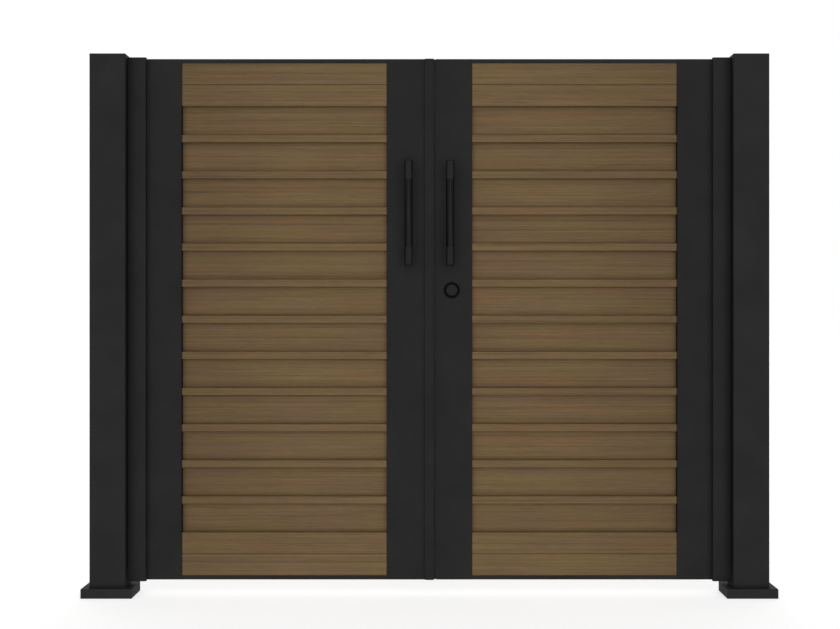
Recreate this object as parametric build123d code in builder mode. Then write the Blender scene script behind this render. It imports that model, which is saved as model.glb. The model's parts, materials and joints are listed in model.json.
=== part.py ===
from build123d import *
import os

# Double swing gate: two boarded leaves hung between two square posts.
# All sizes in millimetres. The origin is the middle of the left post's foot on the ground,
# X runs along the gate to the right post, Z is up and the street side faces -Y.
# On either half u is the distance from that half's post axis towards the middle of the gate.

# Posts and feet
post_side = 120
post_wall = 4
post_corner = 2
post_rise = 7
clear_width = 2032
cap_thick = 5
plug_deep = 18
plug_wall = 3
plug_fit = 0.3
plate_thick = 10
anchor_spacing = 141
anchor_hole = 12
anchor_edge = 10.5
cover_fit = 2
cover_high = 32
cover_skin = 2
lid_edge = 1

# Heights shared by the leaves and the jambs
leaf_bottom = 47.5
rail_high = 14
board_face = 72.5
band_high = 98
strip_high = 24.5
strip_count = 11
end_cap = 3
profile_wall = 2.5

# Depths, front to back
leaf_back = post_side / 2
leaf_thick = 40
infill_set = 3
recess_deep = 19
stop_gap = 6
stop_deep = 23
strip_proud = 10

# Widths across one half
jamb_width = 60
jamb_edge = 3
jamb_over = 1.5
stop_lap = 5
swing_gap = 7
stile_width = 123
meeting_width = 30
slot_deep = 14
slot_fit = 0.25
end_play = 2

# Joints between the boards
tongue_high = 6
tongue_thick = 7
tongue_fit = 0.2
board_edge = 0.7
joint_groove = 2

# Hinges
hinge_count = 3
hinge_high = 100
hinge_inset = 160
hinge_plate = 4
hinge_wide = 38
knuckle_radius = 9
knuckle_middle = 40
knuckle_play = 0.4
knuckle_lift = 0.5
plate_play = 0.8
pin_radius = 5
pin_fit = 0.05
pin_head_radius = 7
pin_head = 2

# Pull handles
handle_offset = 70
handle_above_lock = 81
handle_long = 355
handle_end = 63
grip_radius = 13.5
block_edge = 4.5
block_end = 4
handle_reach = 38
standoff_radius = 8

# Lock
lock_offset = 76
lock_height = 1028
ring_outer = 26.5
ring_inner = 19
ring_thick = 8
disc_thick = 5
spindle_radius = 10
spindle_fit = 0.2

# Positions that follow
span = clear_width + post_side
middle = span / 2
post_face = post_side / 2
plate_side = anchor_spacing + 2 * anchor_edge
cover_side = plate_side + 2 * (cover_fit + cover_skin)
leaf_front = leaf_back - leaf_thick
infill_front = leaf_front + infill_set
infill_back = leaf_back - infill_set
infill_thick = infill_back - infill_front
recess_front = infill_front + recess_deep
plank_thick = infill_back - recess_front
panel_bottom = leaf_bottom + rail_high
band_count = strip_count + 1
bands_bottom = panel_bottom + 2 * board_face
pitch = band_high + strip_high
bands_top = bands_bottom + band_count * band_high + strip_count * strip_high
panel_top = bands_top + 2 * board_face
leaf_top = panel_top + rail_high
post_top = leaf_top + post_rise
jamb_inner = post_face + jamb_width
leaf_edge = jamb_inner - stop_lap
jamb_back_inner = leaf_edge - swing_gap
free_edge = middle - meeting_width / 2 - swing_gap
opening_start = leaf_edge + stile_width
opening_end = free_edge - stile_width
opening_width = opening_end - opening_start
opening_middle = (opening_start + opening_end) / 2
board_long = opening_width + 2 * (slot_deep - end_play)
board_depth = (infill_front + infill_back) / 2
plank_depth = (recess_front + infill_back) / 2
rail_seat = rail_high - end_cap
stop_back = leaf_front - stop_gap
jamb_front = stop_back - stop_deep
profile_low = leaf_bottom + end_cap
profile_high = leaf_top - end_cap
profile_long = profile_high - profile_low
jamb_low = leaf_bottom - jamb_over
jamb_high = leaf_top + jamb_over
hinge_u = (leaf_edge + jamb_back_inner) / 2
hinge_y = leaf_back + knuckle_lift + knuckle_radius
plate_edge = knuckle_radius - plate_play / 2
knuckle_end = (hinge_high - knuckle_middle) / 2
hinge_rise = (leaf_top - leaf_bottom - 2 * hinge_inset) / (hinge_count - 1)
hinge_heights = [leaf_bottom + hinge_inset + i * hinge_rise for i in range(hinge_count)]
plank_heights = [bands_bottom + band_high / 2 + i * pitch for i in range(band_count)]
handle_low = lock_height + handle_above_lock
handle_middle = handle_low + handle_long / 2
strip_heights = [bands_bottom + band_high + strip_high / 2 + i * pitch for i in range(strip_count)]

os.makedirs("parts", exist_ok=True)


def keep(piece, name):
    """Labels a finished piece and writes it out."""
    piece.part.label = name
    export_step(piece.part, f"parts/{name}.step")


def slab(x0, x1, y0, y1, z0, z1, mode=Mode.ADD):
    """Adds a block between the given limits, whichever way round the X limits come."""
    with Locations(((x0 + x1) / 2, (y0 + y1) / 2, (z0 + z1) / 2)):
        Box(abs(x1 - x0), y1 - y0, z1 - z0, mode=mode)


def groove_run(x, z):
    """Cuts the groove that takes a plank tongue, centred on a board edge at height z."""
    with Locations((x, plank_depth, z)):
        Box(
            board_long,
            tongue_thick + 2 * tongue_fit,
            2 * (tongue_high + tongue_fit),
            mode=Mode.SUBTRACT,
        )


def hinge_barrel(x, z, high):
    """Adds one knuckle barrel standing on height z around the hinge axis."""
    with Locations((x, hinge_y, z + high / 2)):
        Cylinder(knuckle_radius, high)


for side, foot_x, way in (("left", 0, 1), ("right", span, -1)):

    def at(u):
        return foot_x + way * u

    # Post: square tube standing on its foot plate
    with BuildPart() as post:
        with BuildSketch(Plane.XY.offset(plate_thick)):
            with Locations((foot_x, 0)):
                RectangleRounded(post_side, post_side, post_corner)
                Rectangle(post_side - 2 * post_wall, post_side - 2 * post_wall, mode=Mode.SUBTRACT)
        extrude(amount=post_top - cap_thick - plate_thick)
    keep(post, f"{side}_post")

    # Cap: flat lid with a plug rim inside the tube
    with BuildPart() as cap:
        with BuildSketch(Plane.XY.offset(post_top - cap_thick)):
            with Locations((foot_x, 0)):
                RectangleRounded(post_side, post_side, post_corner)
        extrude(amount=cap_thick)
        chamfer(cap.faces().sort_by(Axis.Z)[-1].edges(), lid_edge)
        with BuildSketch(Plane.XY.offset(post_top - cap_thick - plug_deep)):
            with Locations((foot_x, 0)):
                plug_side = post_side - 2 * (post_wall + plug_fit)
                Rectangle(plug_side, plug_side)
                Rectangle(plug_side - 2 * plug_wall, plug_side - 2 * plug_wall, mode=Mode.SUBTRACT)
        extrude(amount=plug_deep)
    keep(cap, f"{side}_post_cap")

    # Foot plate with four anchor holes
    with BuildPart() as plate:
        with BuildSketch():
            with Locations((foot_x, 0)):
                Rectangle(plate_side, plate_side)
                with GridLocations(anchor_spacing, anchor_spacing, 2, 2):
                    Circle(anchor_hole / 2, mode=Mode.SUBTRACT)
        extrude(amount=plate_thick)
    keep(plate, f"{side}_base_plate")

    # Cover: thin skin over the foot plate, open below, snug round the post
    with BuildPart() as cover:
        with BuildSketch():
            with Locations((foot_x, 0)):
                Rectangle(cover_side, cover_side)
        extrude(amount=cover_high)
        chamfer(cover.faces().sort_by(Axis.Z)[-1].edges(), lid_edge)
        with BuildSketch():
            with Locations((foot_x, 0)):
                Rectangle(cover_side - 2 * cover_skin, cover_side - 2 * cover_skin)
        extrude(amount=cover_high - cover_skin, mode=Mode.SUBTRACT)
        with BuildSketch():
            with Locations((foot_x, 0)):
                Rectangle(post_side, post_side)
        extrude(amount=cover_high, mode=Mode.SUBTRACT)
    keep(cover, f"{side}_base_cover")

    # Jamb: stepped hollow profile on the post, its front part stops the leaf
    jamb_outline = [
        (at(post_face), jamb_front),
        (at(jamb_inner), jamb_front),
        (at(jamb_inner), stop_back),
        (at(jamb_back_inner), stop_back),
        (at(jamb_back_inner), leaf_back),
        (at(post_face), leaf_back),
    ]
    with BuildPart() as jamb:
        with BuildSketch(Plane.XY.offset(jamb_low + end_cap)) as jamb_section:
            with BuildLine():
                Polyline(*jamb_outline, close=True)
            make_face()
            fillet(jamb_section.vertices().sort_by_distance((at(jamb_inner), jamb_front))[0], jamb_edge)
            offset(amount=-profile_wall, mode=Mode.SUBTRACT)
        extrude(amount=jamb_high - jamb_low - 2 * end_cap)
    keep(jamb, f"{side}_jamb")

    # End caps of the jamb
    with BuildPart() as jamb_caps:
        for low in (jamb_low, jamb_high - end_cap):
            with BuildSketch(Plane.XY.offset(low)) as cap_section:
                with BuildLine():
                    Polyline(*jamb_outline, close=True)
                make_face()
                fillet(cap_section.vertices().sort_by_distance((at(jamb_inner), jamb_front))[0], jamb_edge)
            extrude(amount=end_cap)
    keep(jamb_caps, f"{side}_jamb_caps")

    # Hinge halves: plate with two end knuckles on the jamb, plate with one middle knuckle on the leaf
    axis_x = at(hinge_u)
    plate_gap = hinge_u - plate_edge
    with BuildPart() as hinge_fixed:
        for low in hinge_heights:
            slab(at(plate_gap - hinge_wide), at(plate_gap), leaf_back, leaf_back + hinge_plate,
                 low, low + hinge_high)
            for start in (low, low + hinge_high - knuckle_end + knuckle_play):
                high = knuckle_end - knuckle_play
                slab(at(plate_gap), axis_x, leaf_back, leaf_back + hinge_plate, start, start + high)
                hinge_barrel(axis_x, start, high)
            with Locations((axis_x, hinge_y, low + hinge_high / 2)):
                Cylinder(pin_radius + pin_fit, hinge_high, mode=Mode.SUBTRACT)
    keep(hinge_fixed, f"{side}_hinge_fixed")

    leaf_gap = hinge_u + plate_edge
    with BuildPart() as hinge_moving:
        for low in hinge_heights:
            slab(at(leaf_gap), at(leaf_gap + hinge_wide), leaf_back, leaf_back + hinge_plate,
                 low, low + hinge_high)
            start = low + knuckle_end
            slab(axis_x, at(leaf_gap), leaf_back, leaf_back + hinge_plate, start, start + knuckle_middle)
            hinge_barrel(axis_x, start, knuckle_middle)
            with Locations((axis_x, hinge_y, low + hinge_high / 2)):
                Cylinder(pin_radius + pin_fit, hinge_high, mode=Mode.SUBTRACT)
    keep(hinge_moving, f"{side}_hinge_moving")

    with BuildPart() as pins:
        for low in hinge_heights:
            with BuildSketch(Plane.XY.offset(low)):
                with Locations((axis_x, hinge_y)):
                    Circle(pin_radius)
            extrude(amount=hinge_high)
            with BuildSketch(Plane.XY.offset(low + hinge_high)):
                with Locations((axis_x, hinge_y)):
                    Circle(pin_head_radius)
            extrude(amount=pin_head)
    keep(pins, f"{side}_hinge_pins")

    # Stiles: hollow profiles with a slot along the inner edge for the board ends
    for place, start, slot in (
        ("hinge", leaf_edge, opening_start - slot_deep),
        ("lock", opening_end, opening_end),
    ):
        chamber = leaf_edge if place == "hinge" else opening_end + slot_deep
        with BuildPart() as stile:
            slab(at(start), at(start + stile_width), leaf_front, leaf_back, profile_low, profile_high)
            slab(at(slot), at(slot + slot_deep), infill_front - slot_fit, infill_back + slot_fit,
                 profile_low, profile_high, Mode.SUBTRACT)
            slab(at(chamber + profile_wall), at(chamber + stile_width - slot_deep - profile_wall),
                 leaf_front + profile_wall, leaf_back - profile_wall,
                 profile_low, profile_high, Mode.SUBTRACT)
            if side == "right" and place == "lock":
                with Locations(Location((at(middle - lock_offset), leaf_back, lock_height), (90, 0, 0))):
                    Cylinder(spindle_radius + spindle_fit, 2 * leaf_thick, mode=Mode.SUBTRACT)
        keep(stile, f"{side}_{place}_stile")

    # Caps closing the stile ends
    with BuildPart() as stile_caps:
        for low in (leaf_bottom, profile_high):
            for start in (leaf_edge, opening_end):
                slab(at(start), at(start + stile_width), leaf_front, leaf_back, low, low + end_cap)
    keep(stile_caps, f"{side}_stile_caps")

    # Rails: channels that open towards the boards
    for place, low, seat in (
        ("top", panel_top, panel_top),
        ("bottom", leaf_bottom, leaf_bottom + end_cap),
    ):
        with BuildPart() as rail:
            slab(at(opening_start), at(opening_end), leaf_front, leaf_back, low, low + rail_high)
            slab(at(opening_start), at(opening_end), infill_front - slot_fit, infill_back + slot_fit,
                 seat, seat + rail_seat, Mode.SUBTRACT)
        keep(rail, f"{side}_{place}_rail")

    # Recessed planks with a tongue on both long edges
    panel_x = at(opening_middle)
    with BuildPart() as planks:
        with Locations([(panel_x, plank_depth, z) for z in plank_heights]):
            Box(board_long, plank_thick, band_high)
            Box(board_long, tongue_thick, band_high + 2 * tongue_high)
    keep(planks, f"{side}_planks")

    # Proud strips grooved on both long edges
    with BuildPart() as strips:
        with Locations([(panel_x, board_depth, z) for z in strip_heights]):
            Box(board_long, infill_thick, strip_high)
        chamfer(strips.edges().filter_by(Axis.X).group_by(Axis.Y)[0], board_edge)
        for z in strip_heights:
            groove_run(panel_x, z - strip_high / 2)
            groove_run(panel_x, z + strip_high / 2)
    keep(strips, f"{side}_strips")

    # Flat double boards above and below the strips, held by the rails, with a V groove at mid height
    for place, low, tail_low, tail_high, edge in (
        ("top", bands_top, 0, rail_seat, bands_top),
        ("bottom", panel_bottom, rail_seat, 0, bands_bottom),
    ):
        with BuildPart() as boards:
            joint = low + board_face
            half = board_long / 2
            slab(panel_x - half, panel_x + half, infill_front, infill_back,
                 low - tail_low, joint + board_face + tail_high)
            for face_y in (infill_front, infill_back):
                with Locations(Location((panel_x, face_y, joint), (45, 0, 0))):
                    Box(board_long, joint_groove, joint_groove, mode=Mode.SUBTRACT)
            groove_run(panel_x, edge)
        keep(boards, f"{side}_{place}_boards")

    # Pull handles on both faces: flat end blocks and a round grip
    handle_x = at(middle - handle_offset)
    faces = ((leaf_front, -1), (leaf_back, 1))
    with BuildPart() as bars:
        for face_y, out in faces:
            bar_y = face_y + out * (handle_reach + grip_radius)
            with Locations((handle_x, bar_y, handle_middle)):
                Box(2 * grip_radius, 2 * grip_radius, handle_long)
        upright = bars.edges().filter_by(Axis.Z)
        chamfer(upright, block_edge)
        tips = bars.faces().filter_by(Axis.Z).edges().filter_by(Axis.X)
        fillet(tips, block_end)
        for face_y, out in faces:
            bar_y = face_y + out * (handle_reach + grip_radius)
            with Locations((handle_x, bar_y, handle_middle)):
                Box(3 * grip_radius, 3 * grip_radius, handle_long - 2 * handle_end, mode=Mode.SUBTRACT)
                Cylinder(grip_radius, handle_long - 2 * handle_end)
    keep(bars, f"{side}_handle_bars")

    with BuildPart() as standoffs:
        for face_y, out in faces:
            for z in (handle_low + handle_end / 2, handle_low + handle_long - handle_end / 2):
                with Locations(Location((handle_x, face_y + out * handle_reach / 2, z), (90, 0, 0))):
                    Cylinder(standoff_radius, handle_reach)
    keep(standoffs, f"{side}_handle_standoffs")

# Meeting strip: hollow profile on the left leaf's free edge, its front rib proud of both leaves
rib_start = middle - meeting_width / 2
rib_end = middle + meeting_width / 2
meeting_outline = [
    (free_edge, leaf_front),
    (rib_start, leaf_front),
    (rib_start, leaf_front - strip_proud),
    (rib_end, leaf_front - strip_proud),
    (rib_end, leaf_back),
    (free_edge, leaf_back),
]
with BuildPart() as meeting:
    with BuildSketch(Plane.XY.offset(profile_low)) as meeting_section:
        with BuildLine():
            Polyline(*meeting_outline, close=True)
        make_face()
        offset(amount=-profile_wall, mode=Mode.SUBTRACT)
    extrude(amount=profile_long)
keep(meeting, "left_meeting_strip")

with BuildPart() as meeting_caps:
    for low in (leaf_bottom, profile_high):
        with BuildSketch(Plane.XY.offset(low)):
            with BuildLine():
                Polyline(*meeting_outline, close=True)
            make_face()
        extrude(amount=end_cap)
keep(meeting_caps, "left_meeting_caps")

# Lock on the right leaf: a ring and a disc on either face, joined by a spindle through the stile
lock_x = middle + lock_offset
with BuildPart() as ring:
    for face_y, out in ((leaf_front, -1), (leaf_back, 1)):
        with Locations(Location((lock_x, face_y + out * ring_thick / 2, lock_height), (90, 0, 0))):
            Cylinder(ring_outer, ring_thick)
            Cylinder(ring_inner, ring_thick, mode=Mode.SUBTRACT)
keep(ring, "right_lock_ring")

with BuildPart() as core:
    with Locations(Location((lock_x, (leaf_front + leaf_back) / 2, lock_height), (90, 0, 0))):
        Cylinder(spindle_radius, leaf_thick)
    for face_y, out in ((leaf_front, -1), (leaf_back, 1)):
        with Locations(Location((lock_x, face_y + out * disc_thick / 2, lock_height), (90, 0, 0))):
            Cylinder(ring_inner - spindle_fit, disc_thick)
keep(core, "right_lock_core")
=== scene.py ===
import json
import math

import bmesh
import bpy
from mathutils import Matrix, Vector


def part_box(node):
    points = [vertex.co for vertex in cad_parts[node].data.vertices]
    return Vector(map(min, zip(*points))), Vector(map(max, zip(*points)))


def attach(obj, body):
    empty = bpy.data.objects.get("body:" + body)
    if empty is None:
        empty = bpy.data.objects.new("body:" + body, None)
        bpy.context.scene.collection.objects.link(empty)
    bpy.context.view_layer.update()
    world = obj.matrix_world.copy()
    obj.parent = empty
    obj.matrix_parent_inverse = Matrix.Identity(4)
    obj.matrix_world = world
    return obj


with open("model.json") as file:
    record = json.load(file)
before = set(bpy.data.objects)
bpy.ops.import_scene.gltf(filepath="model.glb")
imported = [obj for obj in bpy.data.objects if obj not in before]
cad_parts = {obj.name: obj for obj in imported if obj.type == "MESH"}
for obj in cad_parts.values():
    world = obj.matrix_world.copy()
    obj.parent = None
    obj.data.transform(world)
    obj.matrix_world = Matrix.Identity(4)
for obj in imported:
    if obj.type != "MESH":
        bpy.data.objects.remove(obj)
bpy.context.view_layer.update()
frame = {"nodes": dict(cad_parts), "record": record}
nodes = frame["nodes"]
scene = bpy.context.scene
SIDES = ("left", "right")

# Places read from the frame, in metres
SPAN = (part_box("right_post")[0].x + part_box("right_post")[1].x) / 2
MIDDLE = SPAN / 2
LEAF_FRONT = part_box("left_lock_stile")[0].y
LEAF_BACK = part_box("left_lock_stile")[1].y
LEAF_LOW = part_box("left_stile_caps")[0].z
LEAF_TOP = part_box("left_stile_caps")[1].z
HINGE_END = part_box("left_hinge_stile")[1].x
PLANK_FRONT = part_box("left_planks")[0].y

# Heights of the rails and boards, and where each run of equal boards starts
RAIL = 0.014
BOARD = 0.0725
BAND = 0.098
STRIP = 0.0245
BANDS = 12
PITCH = BAND + STRIP
PANEL_LOW = LEAF_LOW + RAIL
PANEL_TOP = LEAF_TOP - RAIL
BANDS_LOW = PANEL_LOW + 2 * BOARD


# Node helpers

class Tree:
    """Adds nodes to the node tree of a material or world."""

    def __init__(self, owner):
        owner.use_nodes = True
        self.owner = owner
        self.nodes = owner.node_tree.nodes
        self.links = owner.node_tree.links

    def new(self, kind, **settings):
        node = self.nodes.new("ShaderNode" + kind)
        for key, value in settings.items():
            setattr(node, key, value)
        return node

    def fill(self, socket, value):
        """Sets a socket to a number or colour, or links it."""
        if isinstance(value, (int, float)):
            socket.default_value = value
        elif isinstance(value, tuple):
            socket.default_value = (*value, 1) if socket.type == "RGBA" else value
        else:
            self.links.new(value, socket)

    def math(self, kind, *values):
        n = self.new("Math", operation=kind)
        for socket, value in zip(n.inputs, values):
            self.fill(socket, value)
        return n.outputs[0]

    def times(self, a, b):
        return self.math("MULTIPLY", a, b)

    def minus(self, a, b):
        return self.math("SUBTRACT", a, b)

    def plus(self, a, b):
        return self.math("ADD", a, b)

    def vector(self, kind, a, b):
        n = self.new("VectorMath", operation=kind)
        self.fill(n.inputs[0], a)
        self.fill(n.inputs["Scale" if kind == "SCALE" else 1], b)
        return n.outputs["Value" if kind == "DOT_PRODUCT" else "Vector"]

    def split(self, vector):
        n = self.new("SeparateXYZ")
        self.links.new(vector, n.inputs[0])
        return n.outputs

    def remap(self, value, *ends, curve="LINEAR"):
        """Carries a value from the first two ends to the last two, clamped."""
        n = self.new("MapRange", clamp=True, interpolation_type=curve)
        for socket, end in zip(n.inputs, (value, *ends)):
            self.fill(socket, end)
        return n.outputs[0]

    def seen(self):
        """1 for camera, glossy and transmission rays, 0 for the rays that light the object."""
        path = self.new("LightPath").outputs
        polished = self.math("MAXIMUM", path["Is Camera Ray"], path["Is Glossy Ray"])
        return self.math("MAXIMUM", polished, path["Is Transmission Ray"])


class Finish(Tree):
    """A material's tree, with its shader and the object's own coordinates."""

    def __init__(self, name):
        super().__init__(bpy.data.materials.new(name))
        self.shader = self.nodes["Principled BSDF"]
        self.coords = self.new("TexCoord").outputs["Object"]

    def noise(self, vector, size=1.0, detail=2.0, rough=0.5):
        n = self.new("TexNoise")
        for key, value in (("Vector", vector), ("Scale", size), ("Detail", detail), ("Roughness", rough)):
            self.fill(n.inputs[key], value)
        return n.outputs["Fac"]

    def grain(self, vector, stretch, detail, rough):
        """Noise with its own scale along X, Y and Z."""
        return self.noise(self.vector("MULTIPLY", vector, stretch), 1.0, detail, rough)

    def mix(self, share, a, b, blend="MIX"):
        n = self.new("Mix", data_type="RGBA", blend_type=blend)
        for index, value in ((0, share), (6, a), (7, b)):
            self.fill(n.inputs[index], value)
        return n.outputs[2]

    def bump(self, height, strength, distance):
        n = self.new("Bump")
        for key, value in (("Strength", strength), ("Distance", distance), ("Height", height)):
            self.fill(n.inputs[key], value)
        return n.outputs[0]

    def edges(self, radius):
        """1 near a sharp edge, 0 on open faces."""
        rounded = self.new("Bevel", samples=4)
        rounded.inputs["Radius"].default_value = radius
        true = self.new("NewGeometry").outputs["Normal"]
        return self.remap(self.vector("DOT_PRODUCT", rounded.outputs[0], true), 0.995, 0.86, 0.0, 1.0)

    def corners(self, reach):
        """Painted shade: 1 deep in an upright corner between pieces, 0 on open faces, fainter near the
        ground.
        """
        n = self.new("AmbientOcclusion", samples=8)
        n.inputs["Distance"].default_value = reach
        raised = self.remap(self.split(self.coords)[2], 0.06, 0.11, 0.3, 1.0)
        return self.times(self.remap(n.outputs["AO"], 0.92, 0.5, 0.0, 1.0), raised)

    def put(self, **sockets):
        """Fills the shader's sockets and gives the material."""
        for key, value in sockets.items():
            self.fill(self.shader.inputs[key.replace("_", " ")], value)
        return self.owner


def tint(colour, share):
    return tuple(c * share for c in colour)


# Materials

def from_hinge(t, x):
    """Way in from the nearer hinge stile's inner edge, below 0 on the stile."""
    return t.math("MINIMUM", t.minus(x, HINGE_END), t.minus(SPAN - HINGE_END, x))


def rows_of(t, z, low, pitch):
    """Height above the first row, the row's number and the height within that row."""
    up = t.minus(z, low)
    row = t.math("FLOOR", t.math("DIVIDE", up, pitch))
    return up, row, t.minus(up, t.times(row, pitch))


def slot_shade(t):
    """Share of painted shade along a hinge stile's slot: most beside the recessed planks, little beside the
    boards.
    """
    x, y, z = t.split(t.coords)
    up, row, within = rows_of(t, z, BANDS_LOW, PITCH)
    recess = t.times(t.math("LESS_THAN", within, BAND), t.math("GREATER_THAN", up, 0.0))
    recess = t.times(recess, t.math("LESS_THAN", row, BANDS))
    on_front = t.math("LESS_THAN", y, LEAF_FRONT + 0.002)
    line = t.times(t.remap(from_hinge(t, x), -0.0038, -0.0030, 0.0, 1.0), on_front)
    return t.times(line, t.plus(t.times(recess, 0.40), 0.12))


def coat(name, tone, worn, rough, gloss, speck=0.12, corner_shade_share=0.0, reach=0.08, slot_line=False):
    """Powder coat: orange peel, slight mottling, paler rubbed edges, painted shade in each corner, and a
    black painted shade line along a slot.
    """
    t = Finish(name)
    peel = t.noise(t.coords, 900.0)
    mottle = t.noise(t.coords, 7.0, 4.0, 0.6)
    dust = t.noise(t.coords, 160.0, 3.0, 0.65)
    pale = tint(tone, 1 + speck)
    base = t.mix(t.remap(mottle, 0.3, 0.7, 0.0, 1.0), tint(tone, 1 - speck), pale)
    base = t.mix(t.remap(dust, 0.6, 0.8, 0.0, 0.25), base, pale)
    patches = t.remap(t.noise(t.coords, 45.0, 4.0, 0.7), 0.42, 0.66, 0.0, 0.7)
    base = t.mix(t.times(t.edges(0.0012), patches), base, worn)
    # Painted shade in each corner: the tone darkened to 0.15 of itself, by ambient occlusion.
    if corner_shade_share:
        base = t.mix(t.times(t.corners(reach), corner_shade_share), base, tint(tone, 0.15))
    # Painted shade line, black, along a hinge stile's slot.
    if slot_line:
        base = t.mix(slot_shade(t), base, (0.0, 0.0, 0.0))
    return t.put(
        Base_Color=base,
        Roughness=t.remap(t.plus(mottle, dust), 0.7, 1.3, rough - 0.05, rough + 0.07),
        Normal=t.bump(peel, 0.12, 0.0004),
        Specular_IOR_Level=gloss,
        Metallic=0.0,
    )


# Board colours, and the warmer tint of the painted shade along their joints and grooves
OLIVE = (0.1434, 0.0960, 0.0404)
MAUVE = (0.1386, 0.0864, 0.0450)
RED = (0.1552, 0.0872, 0.0409)
WARM = (1.10, 1.0, 0.92)

# Layers of the board's figure: repeats per metre along X, Y and Z, then detail and roughness of the noise
GRAIN = {
    "hue": ((3.4, 9.0, 24.0), 2.0, 0.5),
    "blush": ((3.2, 6.0, 24.66), 2.0, 0.5),
    "patch": ((4.0, 9.0, 6.0), 2.0, 0.5),
    "long": ((0.9, 60.0, 200.0), 2.0, 0.6),
    "streak": ((4.5, 90.0, 250.0), 4.0, 0.6),
    "fleck": ((26.0, 90.0, 260.0), 3.0, 0.6),
    "fibre": ((26.0, 700.0, 950.0), 3.0, 0.6),
    "vein": ((2.6, 70.0, 75.0), 3.0, 0.6),
    "thread": ((0.45, 40.0, 95.0), 1.0, 0.5),
}
# How far each layer moves the tone
WEIGHT = {"patch": 0.16, "long": 0.57, "streak": 0.44, "fleck": 0.40, "fibre": 0.20}
# Shifts between one board's figure and the next, and between the two leaves' row numbers
BOARD_SHIFT = (9.0, 3.0, 5.0)
LEAF_KEY = 53.0


def boardwood(name, low, pitch, seed, tone, joint=None, height=0.0):
    """Wood-grain composite board: long streaks along X, each board with its own tone and its own figure.

    joint is "ends" for planks of that height that meet strips at both edges: painted shade along those edges
    on the front, a dark seam on the back;
    or "line" for a groove at that height, drawn as a painted shade line.
    """
    t = Finish(name)
    x, y, z = t.split(t.coords)
    up, row, within = rows_of(t, z, low, pitch)
    leaf = t.times(t.math("GREATER_THAN", x, MIDDLE), LEAF_KEY)
    dice = t.new("TexWhiteNoise", noise_dimensions="1D")
    t.fill(dice.inputs["W"], t.plus(t.plus(row, leaf), seed))
    local = t.vector("ADD", t.coords, t.vector("MULTIPLY", dice.outputs["Color"], BOARD_SHIFT))
    layer = {key: t.grain(local, *shape) for key, shape in GRAIN.items()}

    base = t.mix(t.remap(layer["hue"], 0.36, 0.64, 0.0, 1.0), MAUVE, OLIVE)
    base = t.mix(t.remap(layer["blush"], 0.54, 0.70, 0.0, 0.75), base, RED)
    level = t.remap(dice.outputs["Value"], 0.0, 1.0, tone * 0.98, tone * 1.02)
    for key, amount in WEIGHT.items():
        level = t.plus(level, t.times(t.minus(layer[key], 0.5), amount))
    level = t.times(level, t.remap(layer["vein"], 0.64, 0.76, 1.0, 0.72))
    level = t.times(level, t.remap(layer["thread"], 0.63, 0.70, 1.0, 0.84))
    # Painted shade from the posts: each board darker towards the nearer hinge stile.
    level = t.times(level, t.remap(from_hinge(t, x), 0.02, 0.39, 0.835, 1.0))

    # Painted shade on the front, darkest within 6 mm of the strips and fading out by 26 mm; on the back a
    # dark seam line.
    if joint == "ends":
        away = t.math("MINIMUM", within, t.minus(height, within))
        near = t.remap(away, 0.0, 0.006, 0.86, 1.0)
        front_shade = t.times(near, t.remap(away, 0.0, 0.026, 0.90, 1.0))
        seam = t.remap(away, 0.0006, 0.0026, 0.32, 1.0)
        behind = t.math("GREATER_THAN", y, PLANK_FRONT + 0.002)
        shade = t.plus(t.times(seam, behind), t.times(front_shade, t.minus(1.0, behind)))
    # Painted shade line down the groove between two boards.
    elif joint == "line":
        near = t.remap(t.math("ABSOLUTE", t.minus(up, height)), 0.0004, 0.0011, 0.25, 1.0)
        shade = near
    if joint:
        level = t.times(level, shade)
        # The painted shade near a joint or groove takes the warmer tint.
        base = t.mix(t.remap(near, 1.0, 0.86, 0.0, 1.0), base, t.mix(1.0, base, WARM, "MULTIPLY"))

    relief = t.plus(t.times(layer["streak"], 0.7), t.times(layer["fibre"], 0.3))
    return t.put(
        Base_Color=t.vector("SCALE", base, level),
        Roughness=t.remap(layer["streak"], 0.3, 0.7, 0.74, 0.56),
        Normal=t.bump(relief, 0.35, 0.0007),
        Specular_IOR_Level=0.12,
    )


def metal(name, tone, rough, stretch):
    """Plain steel or zinc: drawn scratches along one way over a mottled roughness."""
    t = Finish(name)
    drawn = t.grain(t.coords, stretch, 4.0, 0.6)
    spots = t.noise(t.coords, 120.0, 4.0, 0.6)
    return t.put(
        Base_Color=t.mix(t.remap(t.plus(drawn, spots), 0.7, 1.3, 0.0, 1.0), tint(tone, 0.72), tone),
        Roughness=t.remap(drawn, 0.3, 0.7, rough - 0.08, rough + 0.1),
        Normal=t.bump(drawn, 0.15, 0.0003),
        Metallic=1.0,
    )


def rubber(name, tone, gloss=0.2):
    """Extruded sealing rubber: dull, with fine lines along its length and a little bloom."""
    t = Finish(name)
    lines = t.grain(t.coords, (900.0, 900.0, 6.0), 3.0, 0.6)
    bloom = t.noise(t.coords, 30.0, 4.0, 0.6)
    return t.put(
        Base_Color=t.mix(t.remap(bloom, 0.35, 0.7, 0.0, 1.0), tone, tint(tone, 1.5)),
        Roughness=t.remap(lines, 0.3, 0.7, 0.62, 0.8),
        Normal=t.bump(lines, 0.2, 0.0003),
        Specular_IOR_Level=gloss,
    )


WORN = (0.045, 0.045, 0.046)
# The posts and jambs take painted shade in each corner.
post_coat = coat("post_coat", (0.0222, 0.0221, 0.0223), WORN, 0.66, 0.025, corner_shade_share=1.0)
cover_coat = coat("cover_coat", (0.0232, 0.0231, 0.0233), WORN, 0.66, 0.025)
jamb_coat = coat("jamb_coat", (0.0203, 0.0202, 0.0204), WORN, 0.62, 0.03, corner_shade_share=0.35, reach=0.045)
frame_coat = coat("frame_coat", (0.0201, 0.0200, 0.0202), WORN, 0.62, 0.03)
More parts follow.
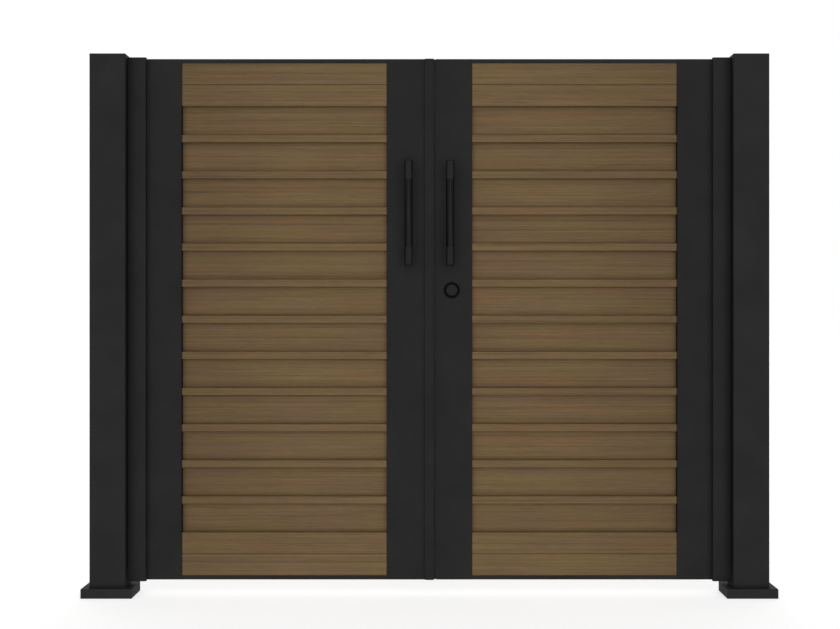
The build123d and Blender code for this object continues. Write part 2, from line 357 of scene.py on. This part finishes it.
# The hinge stiles take a painted shade line along their slots.
stile_coat = coat("stile_coat", (0.0201, 0.0200, 0.0202), WORN, 0.62, 0.03, slot_line=True)
rail_coat = coat("rail_coat", (0.0220, 0.0218, 0.0215), WORN, 0.62, 0.03)
handle_coat = coat("handle_coat", (0.0010, 0.0010, 0.0011), (0.010, 0.010, 0.0105), 0.22, 0.130, speck=0.08)
hinge_coat = coat("hinge_coat", (0.0100, 0.0100, 0.0102), (0.04, 0.04, 0.04), 0.45, 0.15)
lock_black = coat("lock_black", (0.0012, 0.0012, 0.0013), (0.008, 0.008, 0.008), 0.45, 0.03, speck=0.2)
lock_grey = coat("lock_grey", (0.0190, 0.0190, 0.0192), WORN, 0.60, 0.03, speck=0.1)
pin_steel = metal("pin_steel", (0.50, 0.50, 0.51), 0.32, (900.0, 900.0, 14.0))
foot_steel = metal("foot_steel", (0.42, 0.43, 0.44), 0.45, (60.0, 60.0, 60.0))
screw_steel = metal("screw_steel", (0.20, 0.20, 0.205), 0.38, (300.0, 300.0, 300.0))
plank_wood = boardwood("plank_wood", BANDS_LOW, PITCH, 3.0, 1.01, "ends", BAND)
strip_wood = boardwood("strip_wood", BANDS_LOW + BAND, PITCH, 131.0, 1.01)
low_wood = boardwood("low_board_wood", PANEL_LOW, BOARD, 311.0, 1.02, "line", BOARD)
top_wood = boardwood("top_board_wood", PANEL_TOP - 2 * BOARD, BOARD, 417.0, 1.02, "line", BOARD)
seal_rubber = rubber("seal_rubber", (0.0085, 0.0085, 0.0087))
wedge_rubber = rubber("wedge_rubber", (0.003, 0.003, 0.0031), gloss=0.06)

# The finish of each material slot, and of the nodes that differ from their slot
FINISH = {
    "post_coat": post_coat, "frame_coat": frame_coat, "plank": plank_wood, "strip": strip_wood,
    "board": low_wood, "handle_coat": handle_coat, "hinge_coat": hinge_coat, "pin_steel": pin_steel,
    "foot_steel": foot_steel, "lock_black": lock_black, "lock_grey": lock_grey,
}
NODE_FINISH = {
    "top_boards": top_wood, "rail": rail_coat, "jamb": jamb_coat, "base_cover": cover_coat,
    "hinge_stile": stile_coat,
}
for row in frame["record"]["subparts"]:
    finish = FINISH[row["material_slot"]]
    for word, other in NODE_FINISH.items():
        if word in row["node"]:
            finish = other
    slots = nodes[row["node"]].data.materials
    slots.clear()
    slots.append(finish)


# Softened edges on the solids: the first word found in a node's name gives its width

EDGE = {
    "post": 0.0003, "base_cover": 0.0006, "jamb": 0.0006, "stile": 0.0006, "rail": 0.0005, "strip": 0.0003,
    "planks": 0.0005, "boards": 0.0003, "bars": 0.0004, "hinge": 0.0006, "ring": 0.0012, "core": 0.0018,
    "caps": 0.0004,
}
WELD_REACH = 0.00002
SHARP = math.radians(35)
for name, obj in nodes.items():
    width = next((size for word, size in EDGE.items() if word in name), None)
    if width:
        weld = obj.modifiers.new("weld", "WELD")
        weld.merge_threshold = WELD_REACH
        bevel = obj.modifiers.new("edge", "BEVEL")
        bevel.width = width
        bevel.segments = 2
        bevel.limit_method = "ANGLE"
        bevel.angle_limit = SHARP
        bevel.harden_normals = True


# Pieces that stay with the scene

def mesh_object(name, bm, mat):
    """Turns a bmesh into an object with one material."""
    mesh = bpy.data.meshes.new(name)
    bm.to_mesh(mesh)
    bm.free()
    mesh.materials.append(mat)
    obj = bpy.data.objects.new(name, mesh)
    scene.collection.objects.link(obj)
    return obj


def piece(name, bm, mat, body):
    """Makes a piece of the gate that rides on a body."""
    bmesh.ops.recalc_face_normals(bm, faces=bm.faces)
    obj = mesh_object(name, bm, mat)
    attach(obj, body)


def lathe(bm, profile, steps, matrix):
    """Closed turned form from (radius, height) pairs about the local Z axis."""
    turns = [2 * math.pi * i / steps for i in range(steps)]
    rings = []
    for radius, height in profile:
        around = turns if radius else turns[:1]
        points = [Vector((radius * math.cos(a), radius * math.sin(a), height)) for a in around]
        rings.append([bm.verts.new(matrix @ p) for p in points])
    for a, b in zip(rings, rings[1:]):
        for i in range(steps):
            j = (i + 1) % steps
            loop = [a[i % len(a)], a[j % len(a)], b[j % len(b)], b[i % len(b)]]
            bm.faces.new(list(dict.fromkeys(loop)))


def bar(bm, section, z0, z1):
    """Closed prism over a plan section of (x, y) points."""
    a = [bm.verts.new((x, y, z0)) for x, y in section]
    b = [bm.verts.new((x, y, z1)) for x, y in section]
    n = len(section)
    for i in range(n):
        j = (i + 1) % n
        bm.faces.new((a[i], a[j], b[j], b[i]))
    bm.faces.new(a[::-1])
    bm.faces.new(b)


def face_out(x, y, z, way):
    """Places a turned form on the front (way 1) or the rear (way -1) of a leaf, its axis pointing out."""
    return Matrix.Translation((x, y, z)) @ Matrix.Rotation(way * math.pi / 2, 4, "X")


FRONT, REAR = 1, -1

# Countersunk screws with a round socket, three on each hinge plate, placed by the way in from the plate's
# outer edge and up from its lower end
SCREW = [
    (0.0, -0.0012), (0.0042, -0.0012), (0.0045, 0.0), (0.0043, 0.0004), (0.0030, 0.00055),
    (0.0022, 0.0005), (0.0020, -0.0006), (0.0, -0.0007),
]
SCREW_STEPS = 18
SCREW_PLACES = ((0.0095, 0.016), (0.0215, 0.050), (0.0095, 0.084))
HINGES = 3
HINGE_HIGH = 0.1
PLATE_THICK = 0.004
for side in SIDES:
    pin_low, pin_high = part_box(f"{side}_hinge_pins")
    axis_x = (pin_low.x + pin_high.x) / 2
    for kind, body in (("fixed", "posts"), ("moving", f"{side}_leaf")):
        low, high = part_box(f"{side}_hinge_{kind}")
        edge = max(low.x, high.x, key=lambda x: abs(x - axis_x))
        way = 1 if axis_x > edge else -1
        rise = (high.z - low.z - HINGE_HIGH) / (HINGES - 1)
        bm = bmesh.new()
        for k in range(HINGES):
            for dx, dz in SCREW_PLACES:
                place = face_out(edge + way * dx, LEAF_BACK + PLATE_THICK, low.z + k * rise + dz, REAR)
                lathe(bm, SCREW, SCREW_STEPS, place)
        piece(f"{side}_hinge_{kind}_screws", bm, screw_steel, body)

# Fin seal on the right leaf's free edge, closing the slit beside the meeting strip: three lips, each with a
# rounded tip given as (gap to the strip, way across the lip)
LIP_TIP = ((0.0004, 0.0), (0.00003, 0.0008), (0.00003, 0.0017), (0.0004, 0.0025))
LIP_THICK = LIP_TIP[-1][1]
SEAL_INSET = 0.001
strip_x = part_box("left_meeting_strip")[1].x
stile_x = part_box("right_lock_stile")[0].x
bm = bmesh.new()
for y in (LEAF_FRONT + 0.0010, LEAF_FRONT + 0.017, LEAF_BACK - 0.0035):
    tip = [(strip_x + gap, y + across) for gap, across in LIP_TIP]
    bar(bm, [(stile_x, y), *tip, (stile_x, y + LIP_THICK)], LEAF_LOW + SEAL_INSET, LEAF_TOP - SEAL_INSET)
piece("meeting_fin_seal", bm, seal_rubber, "right_leaf")

# Rubber wedges that hold each recessed plank against the back of the frame's slot: (depth in the slot, y)
WEDGE_FRONT = LEAF_FRONT + 0.0035
WEDGE_BACK = PLANK_FRONT - 0.0004
WEDGE = (
    (0.0120, WEDGE_FRONT), (0.0008, WEDGE_FRONT), (0.0003, WEDGE_FRONT + 0.0007),
    (0.0003, WEDGE_BACK - 0.0012), (0.0009, WEDGE_BACK), (0.0120, WEDGE_BACK),
)
WEDGE_PLAY = 0.0006
for side in SIDES:
    stiles = sorted((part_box(f"{side}_hinge_stile"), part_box(f"{side}_lock_stile")), key=lambda b: b[0].x)
    bm = bmesh.new()
    for edge, way in ((stiles[0][1].x, 1), (stiles[1][0].x, -1)):
        section = [(edge - way * depth, y) for depth, y in WEDGE]
        for k in range(BANDS):
            low = BANDS_LOW + k * PITCH
            bar(bm, section, low + WEDGE_PLAY, low + BAND - WEDGE_PLAY)
    piece(f"{side}_plank_wedges", bm, wedge_rubber, f"{side}_leaf")

# Collars under the handle stand-offs
COLLAR = [
    (0.0081, 0.0), (0.0125, 0.0), (0.0125, 0.0016), (0.0118, 0.0023), (0.0090, 0.0025), (0.0081, 0.0020),
    (0.0081, 0.0),
]
COLLAR_STEPS = 36
STANDOFF_RADIUS = 0.008
SAME_POINT = 1e-6
for side in SIDES:
    low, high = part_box(f"{side}_handle_standoffs")
    bm = bmesh.new()
    for y, way in ((LEAF_FRONT, FRONT), (LEAF_BACK, REAR)):
        for z in (low.z + STANDOFF_RADIUS, high.z - STANDOFF_RADIUS):
            lathe(bm, COLLAR, COLLAR_STEPS, face_out((low.x + high.x) / 2, y, z, way))
    bmesh.ops.remove_doubles(bm, verts=bm.verts, dist=SAME_POINT)
    piece(f"{side}_handle_collars", bm, handle_coat, f"{side}_leaf")


# Floor: pale paint that keeps the object's shadow, lifted to white for the rays that see it

FLOOR_HALF = 60
FLOOR_DROP = 0.0006
FLOOR_GLOW = 0.64
paint = Finish("floor_paint")
paint.put(Base_Color=(0.86, 0.86, 0.86), Roughness=0.9, Specular_IOR_Level=0.0)
glow = paint.new("Emission")
paint.fill(glow.inputs["Strength"], paint.times(paint.seen(), FLOOR_GLOW))
both = paint.new("AddShader")
paint.fill(both.inputs[0], paint.shader.outputs[0])
paint.fill(both.inputs[1], glow.outputs[0])
paint.fill(paint.nodes["Material Output"].inputs[0], both.outputs[0])

bm = bmesh.new()
bmesh.ops.create_grid(bm, x_segments=8, y_segments=8, size=FLOOR_HALF)
floor = mesh_object("floor", bm, paint.owner)
floor.location = (MIDDLE, 0, -FLOOR_DROP)
floor.visible_diffuse = False
floor.visible_shadow = False


# Light: a soft field, brightest straight in front and straight behind, before a white background

scene.view_settings.view_transform = "Standard"
LIGHT = (0.62, 0.97, 0.28, 2.27)
world = Tree(bpy.data.worlds.new("studio"))
scene.world = world.owner
facing = world.math("ABSOLUTE", world.split(world.new("TexCoord").outputs["Generated"])[1])
field = world.remap(facing, *LIGHT, curve="SMOOTHSTEP")
lighting = world.nodes["Background"]
background = world.new("Background")
polished = world.times(world.new("LightPath").outputs["Is Glossy Ray"], field)
for shader, strength in ((lighting, field), (background, world.math("MAXIMUM", 1.0, polished))):
    shader.inputs["Color"].default_value = (1, 1, 1, 1)
    world.fill(shader.inputs["Strength"], strength)
both = world.new("MixShader")
for socket, value in zip(both.inputs, (world.seen(), lighting.outputs[0], background.outputs[0])):
    world.fill(socket, value)
world.fill(world.nodes["World Output"].inputs[0], both.outputs[0])


# Camera: the photo's frame, with the eye level and square to the gate

PHOTO = (840, 629)
FOCAL_PX = 1671.0
CENTRE_PX = (429.4, 313.17)
EYE = (MIDDLE, -5.642, 0.950)
cam = bpy.data.cameras.new("camera")
cam.sensor_width = 36.0
cam.lens = FOCAL_PX * cam.sensor_width / PHOTO[0]
cam.shift_x = (PHOTO[0] / 2 - CENTRE_PX[0]) / PHOTO[0]
cam.shift_y = (CENTRE_PX[1] - PHOTO[1] / 2) / PHOTO[0]
cam.clip_end = 200
eye = bpy.data.objects.new("camera", cam)
eye.location = EYE
eye.rotation_euler = (math.pi / 2, 0, 0)
scene.collection.objects.link(eye)
scene.camera = eye
